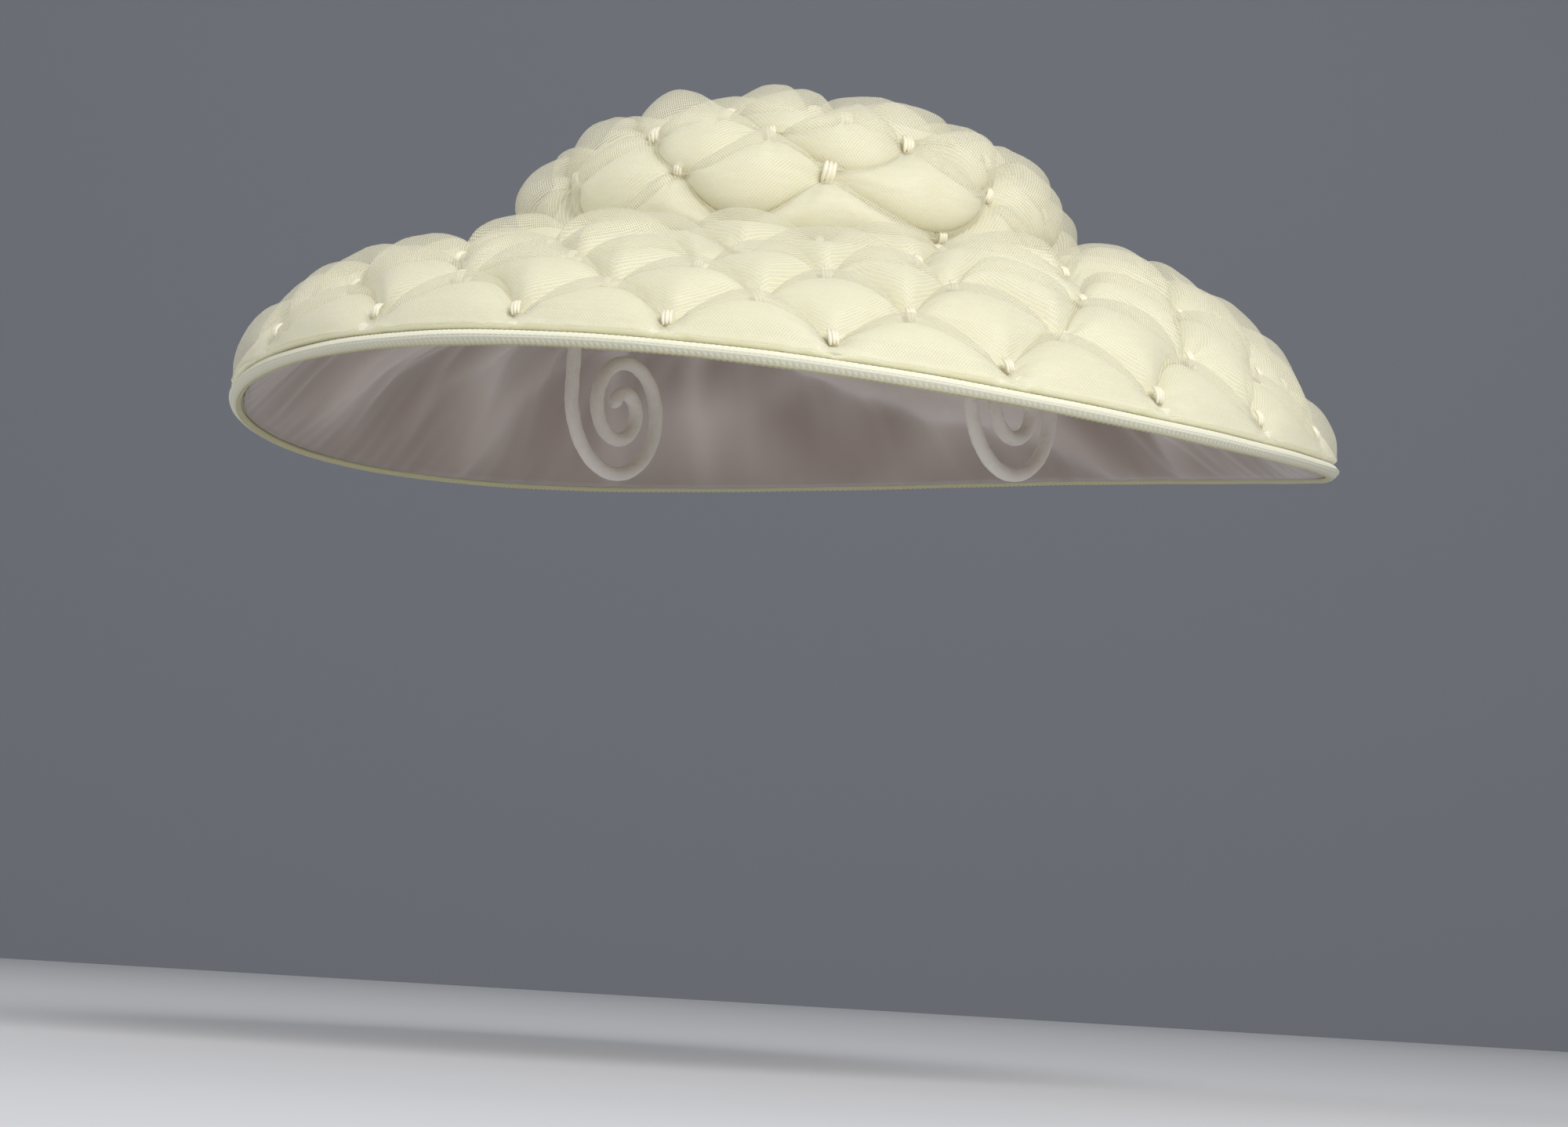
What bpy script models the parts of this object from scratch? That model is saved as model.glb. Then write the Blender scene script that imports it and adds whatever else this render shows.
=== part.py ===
"""Wide-brimmed cartwheel hat with a shallow crown, covered in rows of puffed net folds.

Metres, +Z up. The origin is the middle of the head opening, where the crown meets the brim.
The front of the hat faces -Y and the wearer's left is +X. An angle round the hat starts at the
front and grows towards +X.
"""

import math

import bmesh
import bpy
from mathutils import Vector

# Foundation
OPENING_RADIUS = 0.081  # inside of the crown at the head opening
FORM_WALL = 0.002  # stiffened net of the crown and the brim
CROWN_HEIGHT = 0.0515  # outside of the crown foundation above the opening
CROWN_SQUARENESS = 2.4  # 2 would be a half ellipse, more is a squarer shoulder
BRIM_WIDTH = 0.098  # outwards from the head opening, seen from above
BRIM_DROP = 0.042  # fall of the brim at the front and the back
SIDE_DROOP = 0.0145  # what the brim falls further at the two sides
BRIM_WARP = 0.008  # how far the soft brim strays from an even bell

# Puffed net
BRIM_LOFT = 0.0098  # how far a brim puff stands off the foundation
CROWN_LOFT = 0.0114
PINCH = 0.0026  # thickness left where a tack pulls the net down
PUFF_FULLNESS = 2.2  # the greater, the narrower the pinch between two puffs
SCALLOP = 0.0080  # how far a puff's rounded edge laps over the row before it
COVER_START = 0.0130  # bare foundation between the brim's first row and the crown
CROWN_START = 0.004  # bare foundation under the crown's first row
COVER_END = 0.0008  # from the brim's last row to the binding

# Binding, lining and grips
BINDING_HEIGHT = 0.0068
BINDING_DEPTH = 0.0032
LINING_WALL = 0.0011
LINING_GATHER = 0.0016  # depth of the soft folds in the lining
GATHER_COUNT = 14
GRIP_WIRE = 0.0048  # thickness of the wire with its velvet cover
GRIP_DROP = 0.039  # from the opening down to the middle of the spiral
GRIP_SPIRAL = 0.027  # from the middle of the spiral to its outermost turn
GRIP_CORE = 0.003  # from the middle of the spiral to the wire's end
GRIP_TURNS = 2.0
GRIP_TIGHTENING = 0.8  # 1 would close in evenly, less closes in sooner
GRIP_FOOT = 0.014  # what is sewn to the inside of the crown
GRIP_FOOT_LEAN = 1.1  # the foot leans this much more than the crown's side, to clear it
GRIP_LEG = 0.55  # straight part of the leg below the opening, as a share of the drop
GRIP_LEFT_Y = -0.006  # where the left wire leaves the opening, near its widest point
GRIP_RIGHT_Y = -0.026  # the right one is bent further forward

# Clearances
GAP = 0.0003
SOFT_GAP = 0.0009  # under the puffs
ROW_GAP = 0.0006  # from one row of puffs to the next
LINING_GAP = 0.0012  # above the lining, so that its flat faces clear the brim's

# Facets
BRIM_STEPS = 84
BRIM_FORM_STEPS = 42
LINING_STEPS = 42
CROWN_STEPS = 40
CROWN_BANDS = 7  # facets of the crown foundation from its foot to its tip
BRIM_UNDER_SPANS = 2  # flat facets under a row of puffs, from edge to edge
CROWN_UNDER_SPANS = 3
GRIP_STEPS = 10  # for each turn of the spiral

# The brim's fall, as shares of the brim's width and of its drop.
BRIM_PROFILE = (
    # out, down
    (0.00, 0.00),
    (0.14, 0.01),
    (0.27, 0.03),
    (0.41, 0.09),
    (0.54, 0.21),
    (0.71, 0.45),
    (0.81, 0.65),
    (0.90, 0.83),
    (1.00, 1.00),
)

# How the brim strays from an even bell, as shares of its warp: in height half-way out, in height
# near the rim, and in width.
BRIM_WARPS = (
    # degrees, middle, near the rim, width
    (-53, -1.00, 1.10, 0.25),
    (37, -0.95, 0.20, 0.60),
    (127, 0.50, -0.10, -0.10),
    (217, 0.00, 0.00, 0.00),
    (307, -1.00, 1.10, 0.25),
)

# Rows of puffs from the head opening outwards or upwards. Each row's puffs lap with a rounded edge
# over the row before it. End is where a row ends, as a share of the covered way. Phase is where one
# puff's middle lies, as a share of the way from one puff to the next.
BRIM_ROWS = (
    # name, end, puffs, phase, scallop of the edge at its end
    ("brim_puffs_inner", 0.23, 14, 0.10, 1.1),
    ("brim_puffs_second", 0.43, 14, 0.60, 1.1),
    ("brim_puffs_third", 0.63, 21, 0.93, 1.1),
    ("brim_puffs_fourth", 0.83, 21, 0.43, 1.1),
    ("brim_puffs_rim", 1.00, 21, 0.93, 0.0),
)

CROWN_ROWS = (
    # name, end, puffs, phase, scallop of the edge at its end
    ("crown_puffs_lower", 0.12, 10, 0.27, 0.95),
    ("crown_puffs_second", 0.285, 10, 0.77, 0.95),
    ("crown_puffs_middle", 0.45, 10, 0.27, 0.95),
    ("crown_puffs_upper", 0.64, 8, 0.70, 0.95),
    ("crown_puffs_top", 1.00, 5, 0.20, 0.0),
)

# How a puff swells from its lapping edge to where the next row covers it, as shares of its loft.
PUFF_PROFILE = (
    # along, height
    (0.00, 0.66),
    (0.38, 1.00),
    (1.00, 0.38),
)

# Shares of the brim's width at which its foundation and its lining have an edge.
BRIM_FORM_SHARES = (0.00, 0.27, 0.41, 0.54, 0.71, 0.90, 1.00)
LINING_SHARES = (0.03, 0.41, 0.71, 0.90, 0.985)

BINDING_SHAPE = (
    # share of the depth, share of the height
    (0.00, 0.36),
    (0.55, 0.40),
    (1.00, 0.16),
    (1.00, -0.38),
    (0.55, -0.60),
    (0.00, -0.56),
)

FORM_RADIUS = OPENING_RADIUS + FORM_WALL
BRIM_INNER = (FORM_RADIUS + GAP) / math.cos(math.pi / BRIM_FORM_STEPS)
OUTER_PEAK = 0.75**3 * 0.25  # the greatest value of out cubed times what is left of the way
SLOPE_STEP = 0.001  # share of the way over which a surface's slope is measured


def smooth_row(table, x):
    """Reads a two-column table as a smooth curve through its rows."""
    last = len(table) - 1
    k = 0
    while k < last - 1 and x > table[k + 1][0]:
        k += 1
    x0, y0 = table[k]
    x1, y1 = table[k + 1]
    before = table[max(k - 1, 0)]
    after = table[min(k + 2, last)]
    slope0 = (y1 - before[1]) / (x1 - before[0])
    slope1 = (after[1] - y0) / (after[0] - x0)
    w = x1 - x0
    t = (x - x0) / w
    return (
        y0 * (2 * t**3 - 3 * t**2 + 1)
        + slope0 * w * (t**3 - 2 * t**2 + t)
        + y1 * (3 * t**2 - 2 * t**3)
        + slope1 * w * (t**3 - t**2)
    )


def around(angle, radius, z):
    return Vector((radius * math.sin(angle), -radius * math.cos(angle), z))


def warp_at(angle, column):
    """Reads one column of the warps at an angle, easing from row to row."""
    degrees = (math.degrees(angle) - BRIM_WARPS[0][0]) % 360 + BRIM_WARPS[0][0]
    for here, there in zip(BRIM_WARPS, BRIM_WARPS[1:]):
        if degrees <= there[0]:
            way = (degrees - here[0]) / (there[0] - here[0])
            eased = (1 - math.cos(math.pi * way)) / 2
            return here[column] + (there[column] - here[column]) * eased
    return BRIM_WARPS[-1][column]


def brim_point(angle, out):
    """The outer face of the brim foundation. Out is the share of its width."""
    drop = BRIM_DROP + SIDE_DROOP * (1 - math.cos(2 * angle)) / 2
    middle = warp_at(angle, 1) * math.sin(math.pi * out)
    outer = warp_at(angle, 2) * out**3 * (1 - out) / OUTER_PEAK
    width = BRIM_WIDTH + BRIM_WARP * warp_at(angle, 3)
    height = BRIM_WARP * (middle + outer) - drop * smooth_row(BRIM_PROFILE, out)
    return around(angle, BRIM_INNER + width * out, height)


def crown_point(angle, up):
    """The outer face of the crown foundation. Up runs from 0 at its foot to 1 on top."""
    turn = up * math.pi / 2
    power = 2 / CROWN_SQUARENESS
    radius = FORM_RADIUS * max(math.cos(turn), 0.0) ** power
    return around(angle, radius, CROWN_HEIGHT * math.sin(turn) ** power)


def lift(surface, angle, share, height):
    """The surface's point, moved out along its normal."""
    share = min(max(share, 0.0), 1.0)
    low = max(share - SLOPE_STEP, 0.0)
    high = min(share + SLOPE_STEP, 1.0)
    along = surface(angle, high) - surface(angle, low)
    point = surface(angle, share)
    across = Vector((math.cos(angle), math.sin(angle), 0.0))
    normal = across.cross(along).normalized()
    if surface is brim_point:
        normal = -normal
    return point + normal * height


def way_lengths(surface, steps=200):
    """Lengths along a surface from its start, at the front of the hat."""
    lengths = [0.0]
    for k in range(steps):
        piece = surface(0.0, (k + 1) / steps) - surface(0.0, k / steps)
        lengths.append(lengths[-1] + piece.length)
    return lengths


def share_at(lengths, wanted):
    """The share of a surface's own way at which a length along it is reached."""
    steps = len(lengths) - 1
    for k in range(steps):
        if lengths[k + 1] >= wanted:
            inside = (wanted - lengths[k]) / (lengths[k + 1] - lengths[k])
            return (k + inside) / steps
    return 1.0


def material(name, colour, roughness, metallic=0.0):
    made = bpy.data.materials.new(name)
    made.use_nodes = True
    shader = made.node_tree.nodes["Principled BSDF"]
    shader.inputs["Base Color"].default_value = (*colour, 1.0)
    shader.inputs["Roughness"].default_value = roughness
    shader.inputs["Metallic"].default_value = metallic
    made.diffuse_color = (*colour, 1.0)
    return made


def add_object(name, bm, look, parent_collection):
    bmesh.ops.recalc_face_normals(bm, faces=bm.faces)
    mesh = bpy.data.meshes.new(name)
    bm.to_mesh(mesh)
    bm.free()
    mesh.shade_smooth()
    mesh.set_sharp_from_angle(angle=math.radians(50))
    mesh.materials.append(look)
    obj = bpy.data.objects.new(name, mesh)
    parent_collection.objects.link(obj)
    return obj


def loft_ring(sections):
    """Skins closed cross-sections that stand one after another round the hat."""
    bm = bmesh.new()
    rings = [[bm.verts.new(p) for p in section] for section in sections]
    for here, there in zip(rings, rings[1:] + rings[:1]):
        for i, corner in enumerate(here):
            j = (i + 1) % len(here)
            bm.faces.new((corner, here[j], there[j], there[i]))
    return bm


def loft_cap(sections, foot, tip):
    """Skins open cross-sections that all start at one point on the axis and end at another."""
    bm = bmesh.new()
    first = bm.verts.new(foot)
    last = bm.verts.new(tip)
    rings = [[bm.verts.new(p) for p in section] for section in sections]
    for here, there in zip(rings, rings[1:] + rings[:1]):
        bm.faces.new((first, here[0], there[0]))
        bm.faces.new((last, there[-1], here[-1]))
        for i in range(len(here) - 1):
            bm.faces.new((here[i], here[i + 1], there[i + 1], there[i]))
    return bm


def ring_angles(steps):
    return [2 * math.pi * k / steps for k in range(steps)]


def puff_share(angle, puffs, phase):
    """1 at the middle of a puff and 0 where two puffs meet at a tack."""
    return abs(math.cos(puffs * angle / 2 - math.pi * phase))


def row_edges(rows, row_index, angle, start, way):
    """Lengths along the surface to the two edges of a row at this angle."""
    low = start
    if row_index:
        low = lapped_edge(rows, row_index - 1, angle, start, way) + ROW_GAP
    if row_index == len(rows) - 1:
        return low, way
    return low, lapped_edge(rows, row_index, angle, start, way)


def lapped_edge(rows, row_index, angle, start, way):
    """The edge between a row and the next one, whose puffs give it its scallops."""
    _, end, _, _, scallop = rows[row_index]
    _, _, puffs, phase, _ = rows[row_index + 1]
    wave = 2 * puff_share(angle, puffs, phase) - 1
    return start + (way - start) * end - SCALLOP * scallop * wave


def puff_height(loft, across, profile):
    """The puff is full in the middle and pinched at its tacks."""
    full = 1 - (1 - across) ** PUFF_FULLNESS
    return PINCH + (loft - PINCH) * full * profile


def puff_section(surface, lengths, angle, edges, loft, row, spans):
    """One cross-section of a row of puffs: along the foundation and back over the puff."""
    low, high = edges
    across = puff_share(angle, row[2], row[3])

    def at(along, height):
        return lift(surface, angle, share_at(lengths, low + (high - low) * along), height)

    under = [at(k / spans, SOFT_GAP) for k in range(spans + 1)]
    over = [
        at(along, SOFT_GAP + puff_height(loft, across, height))
        for along, height in reversed(PUFF_PROFILE)
    ]
    return under + over


def puff_row(row_index, on_brim, look, parts):
    """A row of net folds, one closed ring of puffs."""
    if on_brim:
        surface, rows, loft, steps = brim_point, BRIM_ROWS, BRIM_LOFT, BRIM_STEPS
        start, rest, spans = COVER_START, COVER_END, BRIM_UNDER_SPANS
    else:
        surface, rows, loft, steps = crown_point, CROWN_ROWS, CROWN_LOFT, CROWN_STEPS
        start, rest, spans = CROWN_START, 0.0, CROWN_UNDER_SPANS
    lengths = way_lengths(surface)
    row = rows[row_index]
    sections = []
    for a in ring_angles(steps):
        edges = row_edges(rows, row_index, a, start, lengths[-1] - rest)
        sections.append(puff_section(surface, lengths, a, edges, loft, row, spans))
    if rest == 0.0 and row_index == len(rows) - 1:
        foot = Vector((0.0, 0.0, CROWN_HEIGHT + SOFT_GAP))
        tip = foot + Vector((0.0, 0.0, PINCH))
        open_sections = [s[spans - 1 :: -1] + s[: spans + 1 : -1] for s in sections]
        bm = loft_cap(open_sections, foot, tip)
    else:
        bm = loft_ring(sections)
    return add_object(row[0], bm, look, parts)


def crown_form(look, parts):
    """The hollow crown foundation: a turned shell, open at the head."""
    steps = CROWN_BANDS
    outer = [crown_point(math.pi / 2, 1 - k / steps) for k in range(steps + 1)]
    mesh = bpy.data.meshes.new("crown_form")
    mesh.from_pydata([(p.x, 0.0, p.z) for p in outer], [(k, k + 1) for k in range(steps)], [])
    mesh.materials.append(look)
    obj = bpy.data.objects.new("crown_form", mesh)
    parts.objects.link(obj)
    screw = obj.modifiers.new("Turn", "SCREW")
    screw.axis = "Z"
    screw.steps = CROWN_STEPS
    screw.render_steps = CROWN_STEPS
    screw.use_merge_vertices = True
    screw.merge_threshold = 0.0001
    wall = obj.modifiers.new("Wall", "SOLIDIFY")
    wall.thickness = FORM_WALL
    wall.offset = -1
    return obj


def brim_form(look, parts):
    """The brim foundation: a bell that droops at the two sides."""
    sections = []
    for a in ring_angles(BRIM_FORM_STEPS):
        over = [lift(brim_point, a, s, 0.0) for s in BRIM_FORM_SHARES]
        under = [lift(brim_point, a, s, -FORM_WALL) for s in reversed(BRIM_FORM_SHARES)]
        under[-1] = around(a, BRIM_INNER, -FORM_WALL)
        sections.append(over + under)
    return add_object("brim_form", loft_ring(sections), look, parts)


def brim_lining(look, parts):
    """The gathered silk under the brim, from the head opening to the binding."""
    sections = []
    for a in ring_angles(LINING_STEPS):
        fold = (1 + math.cos(GATHER_COUNT * a)) / 2
        top = FORM_WALL + LINING_GAP
        over = [lift(brim_point, a, s, -top) for s in LINING_SHARES]
        under = []
        for s in reversed(LINING_SHARES):
            fullness = math.sin(math.pi * s) if s > LINING_SHARES[0] else 1.0
            under.append(
                lift(brim_point, a, s, -top - LINING_WALL - LINING_GATHER * fold * fullness)
            )
        sections.append(over + under)
    return add_object("brim_lining", loft_ring(sections), look, parts)


def rim_binding(look, parts):
    """The knitted band that closes the edge, from the puffs round to the lining."""
    sections = []
    for a in ring_angles(BRIM_STEPS):
        edge = lift(brim_point, a, 1.0, 0.0)
        normal = (lift(brim_point, a, 1.0, 1.0) - edge).normalized()
        across = Vector((math.cos(a), math.sin(a), 0.0))
        outwards = normal.cross(across)
        if outwards.dot(around(a, 1.0, 0.0)) < 0:
            outwards = -outwards
        sections.append(
            [
                edge
                + outwards * (GAP + BINDING_DEPTH * depth)
                + normal * BINDING_HEIGHT * height
                for depth, height in BINDING_SHAPE
            ]
        )
    return add_object("rim_binding", loft_ring(sections), look, parts)


def grip_path(leg_y):
    """The wire from the crown's inside, down past the brim and round its spiral."""
    flat = math.cos(math.pi / CROWN_STEPS)
    x = math.sqrt((OPENING_RADIUS * flat - GRIP_WIRE / 2 - GAP) ** 2 - leg_y**2)
    first = crown_point(math.pi / 2, 1 / CROWN_BANDS)
    lean = (FORM_RADIUS - first.x) / first.z
    foot_x = x - GRIP_FOOT_LEAN * lean * GRIP_FOOT
    middle_y = leg_y + GRIP_SPIRAL
    points = [
        (foot_x, leg_y, GRIP_FOOT),
        (x, leg_y, 0.0),
        (x, leg_y, -GRIP_DROP * GRIP_LEG),
    ]
    steps = round(GRIP_TURNS * GRIP_STEPS)
    for k in range(steps + 1):
        turn = 2 * math.pi * GRIP_TURNS * k / steps
        way = (k / steps) ** GRIP_TIGHTENING
        radius = GRIP_SPIRAL + (GRIP_CORE - GRIP_SPIRAL) * way
        points.append(
            (
                x,
                middle_y - radius * math.cos(turn),
                -GRIP_DROP - radius * math.sin(turn),
            )
        )
    return points


def grip(name, side, leg_y, look, parts):
    """A velvet-covered wire that ends in a flat spiral and holds the hair at the temple."""
    curve = bpy.data.curves.new(name, "CURVE")
    curve.dimensions = "3D"
    curve.bevel_depth = GRIP_WIRE / 2
    curve.bevel_resolution = 1
    curve.use_fill_caps = True
    points = grip_path(leg_y)
    spline = curve.splines.new("POLY")
    spline.points.add(len(points) - 1)
    for point, (x, y, z) in zip(spline.points, points):
        point.co = (side * x, y, z, 1.0)
    curve.materials.append(look)
    obj = bpy.data.objects.new(name, curve)
    parts.objects.link(obj)
    return obj


def main():
    for obj in list(bpy.data.objects):
        bpy.data.objects.remove(obj)
    parts = bpy.data.collections.new("wide_brim_hat")
    bpy.context.scene.collection.children.link(parts)

    foundation = material("Stiffened net", (0.78, 0.74, 0.60), 0.8)
    net = material("Puffed net", (0.82, 0.77, 0.60), 0.6)
    braid = material("Knitted braid", (0.66, 0.66, 0.50), 0.6)
    silk = material("Lining silk", (0.80, 0.77, 0.76), 0.45)
    velvet = material("Grip velvet", (0.72, 0.66, 0.60), 0.9)

    crown_form(foundation, parts)
    brim_form(foundation, parts)
    for k in range(len(CROWN_ROWS)):
        puff_row(k, False, net, parts)
    for k in range(len(BRIM_ROWS)):
        puff_row(k, True, net, parts)
    rim_binding(braid, parts)
    brim_lining(silk, parts)
    grip("grip_left", 1, GRIP_LEFT_Y, velvet, parts)
    grip("grip_right", -1, GRIP_RIGHT_Y, velvet, parts)


main()
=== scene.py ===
"""Looks of the puffed-net cartwheel hat: tacked net puffs, see-through outer net, satin tacks,
knitted binding, gathered silk lining and velvet grips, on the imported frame.

Metres. The front is -Y, the wearer's left is +X, and the origin is the middle of the head opening.
An angle round the hat starts at the front and grows towards +X.
"""

import math
from collections import namedtuple

import bpy
import numpy as np
from mathutils import Matrix, Vector


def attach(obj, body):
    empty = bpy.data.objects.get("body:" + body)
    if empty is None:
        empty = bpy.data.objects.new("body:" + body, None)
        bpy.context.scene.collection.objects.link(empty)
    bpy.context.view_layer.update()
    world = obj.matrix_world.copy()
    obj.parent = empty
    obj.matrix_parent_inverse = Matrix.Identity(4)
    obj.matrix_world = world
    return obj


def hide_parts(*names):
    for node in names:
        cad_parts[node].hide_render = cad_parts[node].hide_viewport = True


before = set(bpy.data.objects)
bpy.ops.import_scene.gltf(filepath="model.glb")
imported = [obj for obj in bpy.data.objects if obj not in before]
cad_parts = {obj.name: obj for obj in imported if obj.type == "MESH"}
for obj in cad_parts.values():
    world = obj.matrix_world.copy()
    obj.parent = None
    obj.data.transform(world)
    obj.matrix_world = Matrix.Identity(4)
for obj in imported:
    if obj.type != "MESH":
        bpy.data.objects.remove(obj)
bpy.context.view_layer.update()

# Foundation, as built
OPENING_RADIUS = 0.081
FORM_WALL = 0.002
CROWN_HEIGHT = 0.0515
CROWN_SQUARENESS = 2.4
BRIM_WIDTH = 0.098
BRIM_DROP = 0.042
SIDE_DROOP = 0.0145
BRIM_WARP = 0.008
FORM_CLEAR = 0.0003
BRIM_FACETS = 42
CROWN_FACETS = 40
CROWN_BANDS = 7
BRIM_INNER = (OPENING_RADIUS + FORM_WALL + FORM_CLEAR) / math.cos(math.pi / BRIM_FACETS)
WARP_PEAK = 0.75  # share of the width where the warp near the rim is largest

# Puffs, as built
SCALLOP = 0.0080
COVER_START = 0.0130
CROWN_START = 0.004
COVER_END = 0.0008
SOFT_GAP = 0.0009

# How far the rows and their puffs differ from one another
SWAY = 0.055  # of a puff
SWAY_WAVES = (2, 3, 5)
PUFF_SIZES = (0.86, 1.10)
PUFF_LEAN = 0.22
PUFF_REACHES = (0.84, 1.10)
FOLD_COUNTS = (7, 13)
ANY_TURN = 6.28
FINE_ANGLES = 7201  # at which the tacks are looked for

# Where the innermost and the lowest row start, as dressed: nearer to the crown's foot
DRESSED_START = {"brim": 0.0075, "crown": 0.0015}

# Puffs, as dressed
PINCH = 0.0020  # what is left of both layers at a tack
THINNEST = 0.0004
LAP = 0.0028  # how far the outer net laps over the row before it
PUCKER = 0.0010  # depth of the small folds that run into a tack
PUCKER_REACH = 0.0075
PUCKER_START = 0.004  # how far from a tack the folds are at their full depth
FINER_FOLDS = 6  # how many more folds the finer set has
EDGE_ROUNDING = 0.4
TACK_PULL = 0.0038  # how far round itself a tack draws the net down
TACK_DEPTH = 0.62  # the share of the height that it takes away
FIRST_TACK_RISE = 0.006  # a tack's place above the edge of the first row
TACK_RISE = 0.0004  # and above the edge of every other row
CAP_EASING = 0.86  # share of the top row where its puffs start to melt together
LAPPED_HEIGHT = 0.62  # of the padding's loft, where the outer net lies over the row before
RIM_RADIUS = 0.183  # for the stitches' spacing and the braid's map

# Points round the hat, and from edge to edge
FILL_STEPS = {"brim": 420, "crown": 360}
FILL_BANDS = 42
NET_STEPS = {"brim": 400, "crown": 330}
NET_BANDS = 26
LINING_STEPS = 900
LINING_BANDS = 42
BRAID_BANDS = 30
GRIP_SIDES = 24

# Shading of the valleys, as lengths over which it fades
EDGE_SHADE = 0.70
EDGE_FADE = 0.0011
FILL_TACK_FADE = 0.0034
NET_TACK_FADE = 0.003

BRIM_PROFILE = (
    # out, down
    (0.00, 0.00),
    (0.14, 0.01),
    (0.27, 0.03),
    (0.41, 0.09),
    (0.54, 0.21),
    (0.71, 0.45),
    (0.81, 0.65),
    (0.90, 0.83),
    (1.00, 1.00),
)

BRIM_WARPS = (
    # degrees, middle, near the rim, width
    (-53, -1.00, 1.10, 0.25),
    (37, -0.95, 0.20, 0.60),
    (127, 0.50, -0.10, -0.10),
    (217, 0.00, 0.00, 0.00),
    (307, -1.00, 1.10, 0.25),
)

BRIM_ROWS = (
    # name, end, puffs, phase, scallop of the edge at its end
    ("brim_puffs_inner", 0.23, 14, 0.10, 1.1),
    ("brim_puffs_second", 0.43, 14, 0.60, 1.1),
    ("brim_puffs_third", 0.63, 21, 0.93, 1.1),
    ("brim_puffs_fourth", 0.83, 21, 0.43, 1.1),
    ("brim_puffs_rim", 1.00, 21, 0.93, 0.0),
)

CROWN_ROWS = (
    # name, end, puffs, phase, scallop of the edge at its end
    ("crown_puffs_lower", 0.12, 10, 0.27, 0.95),
    ("crown_puffs_second", 0.285, 10, 0.77, 0.95),
    ("crown_puffs_middle", 0.45, 10, 0.27, 0.95),
    ("crown_puffs_upper", 0.64, 8, 0.70, 0.95),
    ("crown_puffs_top", 1.00, 5, 0.20, 0.0),
)

# Colours, linear
NET_IVORY = (0.84, 0.81, 0.62)
NET_STAIN = (0.82, 0.75, 0.50)
NET_LIGHT = (0.91, 0.895, 0.75)
# NET_SHADE is painted shade: a warm tint for the valleys and round the tacks
NET_SHADE = (0.98, 0.88, 0.54)
VEIL_CREAM = (0.85, 0.81, 0.62)
SATIN_WHITE = (0.88, 0.84, 0.69)
SATIN_SHADE = (0.84, 0.77, 0.56)
BRAID_STRAW = (0.87, 0.86, 0.72)
BRAID_LIGHT = (0.88, 0.87, 0.73)
# Painted shade: the khaki of the binding's underside
BRAID_SHADED_KHAKI = (0.58, 0.54, 0.27)
BRAID_SHADE = (0.50, 0.46, 0.24)
SILK_WHITE = (0.70, 0.61, 0.55)
SILK_SLUB = (0.54, 0.46, 0.42)
SILK_SHADE = (0.29, 0.215, 0.17)
VELVET_BEIGE = (0.84, 0.79, 0.72)
VELVET_SHADE = (0.72, 0.65, 0.56)
VELVET_RUBBED = (0.90, 0.86, 0.80)
BUCKRAM = (0.78, 0.74, 0.60)
BUCKRAM_GAP = (0.60, 0.55, 0.40)
BUCKRAM_WORN = (0.70, 0.66, 0.54)
FLOOR_PALE = (0.62, 0.62, 0.64)
BACKDROP_GREY = (0.225, 0.235, 0.26)
ROOM_WHITE = (0.95, 0.97, 1.0, 1.0)

# Pitch of the threads, in metres
NET_PITCH = 0.00062
VEIL_PITCH = 0.00092
SILK_PITCH = 0.0004
BUCKRAM_PITCH = 0.0016

# The photograph's view
IMAGE_WIDTH = 2000
IMAGE_HEIGHT = 1438
VIEW_AZIMUTH = math.radians(37.4)
VIEW_ELEVATION = math.radians(-8.05)
VIEW_ROLL = math.radians(3.44)
VIEW_DISTANCE = 1.6
FOCAL_PIXELS = 6075
ORIGIN_PIXEL = (1016.4, 368.4)
SENSOR_WIDTH = 36.0

# The stage
FLOOR_Z = -0.262
STAGE_SIZE = 16.0
BACKDROP_DISTANCE = 2.4
BACKDROP_MIDDLE = 1.5
ROOM_LIGHT = 0.40

LIGHTS = (
    # name, place, size, power
    ("Key", (1.7, -0.95, 1.25), 1.4, 44),
    ("Fill", (-1.5, -1.1, 0.8), 1.6, 9.5),
    ("Back", (-0.7, 1.7, 1.5), 1.2, 5),
    ("Low", (-0.9, -1.2, -0.20), 0.5, 1.2),
)

chance = np.random.default_rng(7)


def read_curve(table, x):
    """Reads a two-column table as a smooth curve through its rows."""
    rows = np.array(table, float)
    x = np.asarray(x, float)
    last = len(rows) - 1
    k = np.clip(np.searchsorted(rows[:, 0], x, side="right") - 1, 0, last - 1)
    x0, y0 = np.moveaxis(rows[k], -1, 0)
    x1, y1 = np.moveaxis(rows[k + 1], -1, 0)
    xb, yb = np.moveaxis(rows[np.maximum(k - 1, 0)], -1, 0)
    xa, ya = np.moveaxis(rows[np.minimum(k + 2, last)], -1, 0)
    w = x1 - x0
    t = (x - x0) / w
    slope0 = (y1 - yb) / (x1 - xb)
    slope1 = (ya - y0) / (xa - x0)
    return (
        y0 * (2 * t**3 - 3 * t**2 + 1)
        + slope0 * w * (t**3 - 2 * t**2 + t)
        + y1 * (3 * t**2 - 2 * t**3)
        + slope1 * w * (t**3 - t**2)
    )


def read_warp(angle, column):
    """Reads one column of the warps, easing from row to row."""
    rows = np.array(BRIM_WARPS, float)
    degrees = (np.degrees(angle) - rows[0, 0]) % 360 + rows[0, 0]
    k = np.clip(np.searchsorted(rows[:, 0], degrees, side="right") - 1, 0, len(rows) - 2)
    way = (degrees - rows[k, 0]) / (rows[k + 1, 0] - rows[k, 0])
    eased = (1 - np.cos(np.pi * way)) / 2
    return rows[k, column] + (rows[k + 1, column] - rows[k, column]) * eased


def around(angle, radius, z):
    """Points at an angle round the hat."""
    return np.stack([radius * np.sin(angle), -radius * np.cos(angle), z + 0 * angle], -1)


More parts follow.
